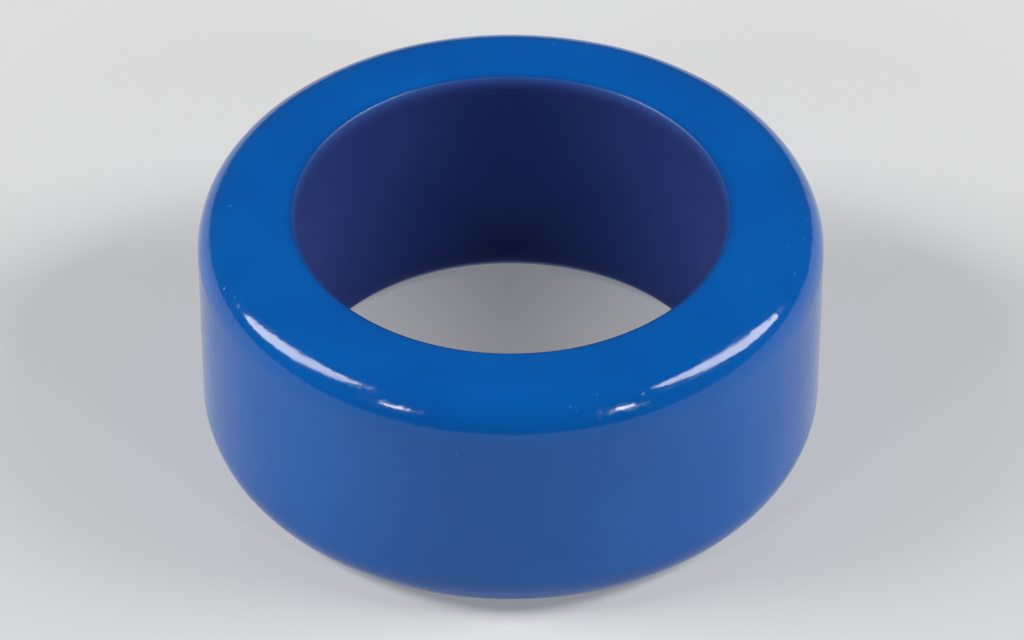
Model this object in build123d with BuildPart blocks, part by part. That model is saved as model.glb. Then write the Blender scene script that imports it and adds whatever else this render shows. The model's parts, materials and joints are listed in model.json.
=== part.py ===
from build123d import *
import os

# Friction ring of a watch case opening set: one thick-walled ring, moulded in a single shot
# of glossy blue elastomer. Its flat top face is pressed on a screw-down case back and turned.
#
# Frame: +Z is the ring's axis and points from the base to the gripping face, and the origin
# is the middle of the base that the ring stands on. All sizes are in millimetres.

# Driving dimensions
outer_diameter = 50.0
wall_thickness = 8.0  # radial, from the bore to the outer side
height = 21.5
top_outer_round = 3.5  # shoulder between the gripping face and the outer side
top_bore_round = 1.35  # lip between the gripping face and the bore
base_outer_round = 4.0  # the base is nearly a full round, with a narrow flat to stand on
base_bore_round = 3.25
least_flat = 0.5  # narrowest flat ring left between the two rounds of an end face

# What follows from them
outer_radius = outer_diameter / 2
bore_radius = outer_radius - wall_thickness


def rounds_within_wall(bore_round, outer_round):
    """The two rounds of one end face, both eased in proportion where the wall is too thin."""
    room = wall_thickness - least_flat
    share = min(1.0, room / (bore_round + outer_round))
    return bore_round * share, outer_round * share


base_bore_radius, base_outer_radius = rounds_within_wall(base_bore_round, base_outer_round)
top_bore_radius, top_outer_radius = rounds_within_wall(top_bore_round, top_outer_round)

# The ring: its cross-section, a rounded upright rectangle beside the axis, turned once about +Z
with BuildPart() as friction_ring:
    with BuildSketch(Plane.XZ):
        with BuildLine():
            FilletPolyline(
                (bore_radius, 0),
                (outer_radius, 0),
                (outer_radius, height),
                (bore_radius, height),
                radius=[base_bore_radius, base_outer_radius, top_outer_radius, top_bore_radius],
                close=True,
            )
        make_face()
    revolve(axis=Axis.Z)

friction_ring.part.label = "friction_ring"
os.makedirs("parts", exist_ok=True)
export_step(friction_ring.part, "parts/friction_ring.step")
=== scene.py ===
import json
import math

import bmesh
import bpy
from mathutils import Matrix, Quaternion, Vector, noise

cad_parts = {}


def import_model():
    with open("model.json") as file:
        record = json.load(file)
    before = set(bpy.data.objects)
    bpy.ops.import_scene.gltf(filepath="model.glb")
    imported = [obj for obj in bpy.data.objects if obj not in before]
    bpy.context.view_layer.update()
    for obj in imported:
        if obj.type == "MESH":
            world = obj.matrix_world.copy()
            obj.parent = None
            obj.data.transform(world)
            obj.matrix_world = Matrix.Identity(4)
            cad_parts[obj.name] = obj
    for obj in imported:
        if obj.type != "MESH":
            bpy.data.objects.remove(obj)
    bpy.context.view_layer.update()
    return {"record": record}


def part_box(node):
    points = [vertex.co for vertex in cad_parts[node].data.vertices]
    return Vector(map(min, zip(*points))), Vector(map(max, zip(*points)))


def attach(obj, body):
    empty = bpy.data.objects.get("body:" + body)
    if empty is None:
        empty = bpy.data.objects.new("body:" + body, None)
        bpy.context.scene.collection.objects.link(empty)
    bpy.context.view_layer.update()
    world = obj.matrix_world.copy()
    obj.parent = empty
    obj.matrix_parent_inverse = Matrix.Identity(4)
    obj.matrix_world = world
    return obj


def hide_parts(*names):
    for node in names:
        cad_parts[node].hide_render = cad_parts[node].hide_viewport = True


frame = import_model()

# A glossy blue elastomer friction ring on a pale studio floor. All lengths are in metres.
# The ring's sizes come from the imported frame: its box, its bore mount and its two flat faces.

NODE = "friction_ring"
MM = 0.001


def mount(name):
    """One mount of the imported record, by its name."""
    return next(m for m in frame["record"]["mounts"] if m["name"] == name)


# ---- the ring's section, worked out from the frame ----
LOW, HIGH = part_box(NODE)
OUTER = (HIGH.x - LOW.x) / 2
HEIGHT = HIGH.z - LOW.z
BORE = mount("bore")["dims"]["r_mm"] * MM
BORE_MIDDLE = mount("bore")["pos_m"][2]
BORE_HALF_WALL = mount("bore")["dims"]["length_mm"] * MM / 2
TOP_BORE_ROUND = HEIGHT - BORE_MIDDLE - BORE_HALF_WALL
BASE_BORE_ROUND = BORE_MIDDLE - BORE_HALF_WALL


def outer_round(face, bore_round):
    """The outer round of an end face, whose mount lies midway across its flat."""
    return OUTER + BORE + bore_round - 2 * mount(face)["pos_m"][0]


TOP_OUTER_ROUND = outer_round("gripping_face", TOP_BORE_ROUND)
BASE_OUTER_ROUND = outer_round("base", BASE_BORE_ROUND)

# ---- mesh of the ring ----
STEPS_AROUND = 288
STEP_ALONG = 0.45 * MM  # length of a facet along the section
RIPPLE = 0.02 * MM  # how far the moulded skin wanders from the true section
RIPPLE_LENGTH = 7 * MM


def corner(x, z, turn, radius):
    """A quarter round of the section: its centre (x, z) and its first direction, in degrees."""
    steps = max(6, round(radius * math.pi / 2 / STEP_ALONG))
    angles = [math.radians(turn + 90 * i / steps) for i in range(steps + 1)]
    return [(x + radius * math.cos(a), z + radius * math.sin(a)) for a in angles]


def ring_section():
    """The closed outline of the ring's wall as (radius, height) points, anticlockwise."""
    rounds = [
        (OUTER - BASE_OUTER_ROUND, BASE_OUTER_ROUND, -90, BASE_OUTER_ROUND),
        (OUTER - TOP_OUTER_ROUND, HEIGHT - TOP_OUTER_ROUND, 0, TOP_OUTER_ROUND),
        (BORE + TOP_BORE_ROUND, HEIGHT - TOP_BORE_ROUND, 90, TOP_BORE_ROUND),
        (BORE + BASE_BORE_ROUND, BASE_BORE_ROUND, 180, BASE_BORE_ROUND),
    ]
    corners = [corner(*each) for each in rounds]
    outline = []
    for here, after in zip(corners, corners[1:] + corners[:1]):
        outline += here
        start, end = Vector(here[-1]), Vector(after[0])
        steps = max(1, round((end - start).length / STEP_ALONG))
        outline += [tuple(start.lerp(end, i / steps)) for i in range(1, steps)]
    return outline


def ring_mesh():
    """The section turned about +Z, with the faint ripple of a moulded elastomer skin."""
    mesh = bpy.data.meshes.new("moulded_ring")
    bm = bmesh.new()
    section = ring_section()
    rows = []
    for i in range(STEPS_AROUND):
        turn = 2 * math.pi * i / STEPS_AROUND
        rows.append([
            bm.verts.new((r * math.cos(turn), r * math.sin(turn), z)) for r, z in section
        ])
    for row, after in zip(rows, rows[1:] + rows[:1]):
        for j in range(len(section)):
            k = (j + 1) % len(section)
            bm.faces.new((row[j], after[j], after[k], row[k]))
    bm.normal_update()
    moves = []
    for vert in bm.verts:
        sway = noise.noise(vert.co / RIPPLE_LENGTH) * RIPPLE
        moves.append(vert.normal * sway)
    for vert, move in zip(bm.verts, moves):
        vert.co += move
    for face in bm.faces:
        face.smooth = True
    bm.to_mesh(mesh)
    bm.free()
    ring = bpy.data.objects.new("moulded_ring", mesh)
    bpy.context.scene.collection.objects.link(ring)
    return ring


# ---- material of the ring ----
DEEP_BLUE = (0.001, 0.086, 0.365, 1)
BRIGHT_BLUE = (0.001, 0.101, 0.405, 1)
PAINTED_BORE_SHADE = (0.008, 0.026, 0.170, 1)  # painted shade: the bore is coloured deeper and more violet than the outside, in place of the shade inside it
NICK_BLUE = (0.01, 0.15, 0.48, 1)
TINT_LENGTH = 11 * MM  # size of the cloudy patches in the pigment
TINT_RANGE = (0.3, 0.7)  # each such range is the part of its noise, from 0 to 1, that shows
SMUDGE_LENGTH = 4 * MM
SMUDGE_RANGE = (0.35, 0.75)
PEEL_LENGTH = 1.3 * MM  # orange peel of the moulded skin
PEEL_HEIGHT = 0.028 * MM
SCUFF_LENGTH = 3.5 * MM  # handling scuffs, which run around the ring
SCUFF_STRETCH = 14  # how many times longer a scuff is than it is high
SCUFF_RANGE = (0.55, 0.62)
SCUFF_DEPTH = 0.0015 * MM
NICK_LENGTH = 0.7 * MM  # small pale nicks along the gripping shoulder
NICK_RANGE = (0.70, 0.78)
NICK_DEPTH = PEEL_HEIGHT / 2
RUBBER_IOR = 1.43
GLOSSY = 0.07  # roughness of the clean skin outside
SMUDGED = 0.15
BORE_MATT = 0.8
LIP_SHADE_FADE = 0.6  # the bore's painted shade fades out over this share of its lip's radius
LIP_POLISHED = (0.24, 0.45)  # the bore's matt finish ends between these shares of it


def add_node(tree, kind, settings=None, **inputs):
    """A shader node with its settings and its unlinked inputs."""
    made = tree.nodes.new(kind)
    for key, value in (settings or {}).items():
        setattr(made, key, value)
    for key, value in inputs.items():
        made.inputs[key.replace("_", " ")].default_value = value
    return made


def noise_field(tree, vector, length, detail=3.0, roughness=0.5):
    """Noise from 0 to 1 whose patches are about as wide as length."""
    field = add_node(tree, "ShaderNodeTexNoise", Scale=1 / length, Detail=detail, Roughness=roughness)
    tree.links.new(vector, field.inputs["Vector"])
    return field.outputs["Fac"]


def remap(tree, value, low, high, new_low=0.0, new_high=1.0):
    """The value taken smoothly from low..high to new_low..new_high, and held there."""
    span = add_node(tree, "ShaderNodeMapRange", {"interpolation_type": "SMOOTHSTEP"})
    for index, number in enumerate((low, high, new_low, new_high), start=1):
        span.inputs[index].default_value = number
    tree.links.new(value, span.inputs[0])
    return span.outputs[0]


def maths(tree, operation, first, second):
    """One sum of two values, each a socket or a number."""
    made = add_node(tree, "ShaderNodeMath", {"operation": operation})
    for index, value in enumerate((first, second)):
        if isinstance(value, (int, float)):
            made.inputs[index].default_value = value
        else:
            tree.links.new(value, made.inputs[index])
    return made.outputs[0]


def blend_colour(tree, share, first, second):
    """The mix of two colours, each a socket or a colour."""
    made = add_node(tree, "ShaderNodeMix", {"data_type": "RGBA"})
    tree.links.new(share, made.inputs["Factor"])
    for name, value in (("A", first), ("B", second)):
        socket = next(s for s in made.inputs if s.name == name and s.type == "RGBA")
        if isinstance(value, tuple):
            socket.default_value = value
        else:
            tree.links.new(value, socket)
    return next(s for s in made.outputs if s.type == "RGBA")


def scaled(tree, vector, factors):
    """The vector with each of its parts multiplied."""
    made = add_node(tree, "ShaderNodeVectorMath", {"operation": "MULTIPLY"})
    made.inputs[1].default_value = factors
    tree.links.new(vector, made.inputs[0])
    return made.outputs["Vector"]


def elastomer():
    """Glossy blue moulded elastomer: cloudy pigment, smudges, orange peel, scuffs, nicks, and painted
    shade in the bore.
    """
    material = bpy.data.materials.new("blue_elastomer")
    material.use_nodes = True
    tree = material.node_tree
    shader = tree.nodes["Principled BSDF"]
    shader.inputs["IOR"].default_value = RUBBER_IOR
    place = add_node(tree, "ShaderNodeTexCoord").outputs["Object"]
    flat = add_node(tree, "ShaderNodeVectorMath", {"operation": "LENGTH"})
    tree.links.new(scaled(tree, place, (1, 1, 0)), flat.inputs[0])
    radius = flat.outputs["Value"]
    parts = add_node(tree, "ShaderNodeSeparateXYZ")
    tree.links.new(place, parts.inputs[0])

    # pigment, with painted shade darkening the bore
    clouds = remap(tree, noise_field(tree, place, TINT_LENGTH), *TINT_RANGE)
    pigment = blend_colour(tree, clouds, DEEP_BLUE, BRIGHT_BLUE)
    shoulder_start = OUTER - TOP_OUTER_ROUND
    outward = remap(tree, radius, shoulder_start - MM, shoulder_start + MM)
    upward = remap(tree, parts.outputs["Z"], HEIGHT - 2 * TOP_OUTER_ROUND, HEIGHT - TOP_OUTER_ROUND)
    shoulder = maths(tree, "MULTIPLY", outward, upward)
    chips = remap(tree, noise_field(tree, place, NICK_LENGTH, 2.0), *NICK_RANGE)
    nicks = maths(tree, "MULTIPLY", chips, shoulder)
    skin = blend_colour(tree, nicks, pigment, NICK_BLUE)
    # painted shade: the colour turns darker and more violet inward from the bore's lip, standing in
    # for the shade inside the bore
    bore_shade_mask = remap(tree, radius, BORE, BORE + LIP_SHADE_FADE * TOP_BORE_ROUND, 1, 0)
    colour = blend_colour(tree, bore_shade_mask, skin, PAINTED_BORE_SHADE)
    tree.links.new(colour, shader.inputs["Base Color"])

    # gloss: polished outside, matt in the bore
    hazes = noise_field(tree, place, SMUDGE_LENGTH, 5.0, 0.65)
    smudges = remap(tree, hazes, *SMUDGE_RANGE, GLOSSY, SMUDGED)
    matt_end, polish_start = (BORE + share * TOP_BORE_ROUND for share in LIP_POLISHED)
    matt = remap(tree, radius, matt_end, polish_start, BORE_MATT, 0)
    tree.links.new(maths(tree, "MAXIMUM", smudges, matt), shader.inputs["Roughness"])

    # relief
    peel = maths(tree, "MULTIPLY", noise_field(tree, place, PEEL_LENGTH, 2.0), PEEL_HEIGHT)
    around = scaled(tree, place, (1, 1, SCUFF_STRETCH))
    scuffs = remap(tree, noise_field(tree, around, SCUFF_LENGTH, 4.0, 0.7), *SCUFF_RANGE)
    relief = maths(tree, "ADD", peel, maths(tree, "MULTIPLY", scuffs, -SCUFF_DEPTH))
    relief = maths(tree, "ADD", relief, maths(tree, "MULTIPLY", nicks, -NICK_DEPTH))
    bump = add_node(tree, "ShaderNodeBump", Strength=1.0, Distance=1.0)
    tree.links.new(relief, bump.inputs["Height"])
    tree.links.new(bump.outputs["Normal"], shader.inputs["Normal"])
    return material


# ---- stage ----
FLOOR_HALF = 1.5
FLOOR_DROP = 0.05 * MM  # the floor lies just under the skin's ripple
FLOOR_GREY = (0.5, 0.5, 0.5, 1)
FLOOR_ROUGHNESS = 0.9
FLOOR_GLOW = 0.2  # a light table, weakly and evenly lit from below


def pale_floor():
    """A plain, matt, pale studio floor."""
    material = bpy.data.materials.new("pale_floor")
    material.use_nodes = True
    shader = material.node_tree.nodes["Principled BSDF"]
    shader.inputs["Base Color"].default_value = FLOOR_GREY
    shader.inputs["Roughness"].default_value = FLOOR_ROUGHNESS
    shader.inputs["Specular IOR Level"].default_value = 0.0
    shader.inputs["Emission Color"].default_value = (1, 1, 1, 1)
    shader.inputs["Emission Strength"].default_value = FLOOR_GLOW
    return material


def floor():
    """The floor that the ring stands on, which isn't part of the object."""
    mesh = bpy.data.meshes.new("floor")
    bm = bmesh.new()
    bmesh.ops.create_grid(bm, x_segments=8, y_segments=8, size=FLOOR_HALF)
    bm.to_mesh(mesh)
    bm.free()
    ground = bpy.data.objects.new("floor", mesh)
    ground.location.z = LOW.z - FLOOR_DROP
    mesh.materials.append(pale_floor())
    bpy.context.scene.collection.objects.link(ground)


# ---- camera ----
CAMERA_RISE = math.radians(40.1)
CAMERA_DISTANCE = 20 * OUTER
AIM = Vector((0.1 * MM, 0, 0.394 * OUTER))
SENSOR = 36.0
LENS = 217.6


def camera():
    """A long lens, in front of the ring and above it."""
    data = bpy.data.cameras.new("camera")
    data.sensor_width = SENSOR
    data.lens = LENS
    data.clip_start = 0.01
    eye = bpy.data.objects.new("camera", data)
    back = Vector((0, -math.cos(CAMERA_RISE), math.sin(CAMERA_RISE)))
    eye.location = AIM + back * CAMERA_DISTANCE
    eye.rotation_euler = back.to_track_quat("Z", "Y").to_euler()
    bpy.context.scene.collection.objects.link(eye)
    bpy.context.scene.camera = eye


# ---- lights ----
LAMP_DISTANCE = 0.8
# Degrees from the front, degrees up from the floor, width and height in degrees, and tilt.
STRIP = {"azimuth": 88, "rise": 36, "size": (17, 46), "tilt": 42, "watts": 5.4}
SPOT = {"azimuth": 40, "rise": 30, "size": (7, 8), "tilt": 0, "watts": 0.65}
SKY_STRENGTH = 0.05


def softbox(name, side, azimuth, rise, size, tilt, watts):
    """A plain white oval softbox, aimed at the ring, on its right (side 1) or its left (-1)."""
    data = bpy.data.lights.new(name, "AREA")
    data.shape = "ELLIPSE"
    data.size = 2 * LAMP_DISTANCE * math.tan(math.radians(size[0] / 2))
    data.size_y = 2 * LAMP_DISTANCE * math.tan(math.radians(size[1] / 2))
    data.energy = watts
    lamp = bpy.data.objects.new(name, data)
    turn, lift = math.radians(side * azimuth - 90), math.radians(rise)
    out = Vector((math.cos(lift) * math.cos(turn), math.cos(lift) * math.sin(turn), math.sin(lift)))
    lamp.location = out * LAMP_DISTANCE
    lamp.rotation_mode = "QUATERNION"
    spin = Quaternion((0, 0, 1), math.radians(side * tilt))
    lamp.rotation_quaternion = out.to_track_quat("Z", "Y") @ spin
    bpy.context.scene.collection.objects.link(lamp)


def lights():
    """A tall softbox on each side, and a small one on each side of the camera."""
    for side, mark in ((1, "right"), (-1, "left")):
        softbox(f"strip_{mark}", side, **STRIP)
        softbox(f"spot_{mark}", side, **SPOT)


def world():
    """Dim, even, white light from all round."""
    sky = bpy.data.worlds.new("studio")
    bpy.context.scene.world = sky
    sky.use_nodes = True
    background = sky.node_tree.nodes["Background"]
    background.inputs["Color"].default_value = (1, 1, 1, 1)
    background.inputs["Strength"].default_value = SKY_STRENGTH


ring = ring_mesh()
ring.data.materials.append(elastomer())
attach(ring, "root")
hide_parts(NODE)
floor()
camera()
lights()
world()
bpy.context.scene.view_settings.view_transform = "Standard"
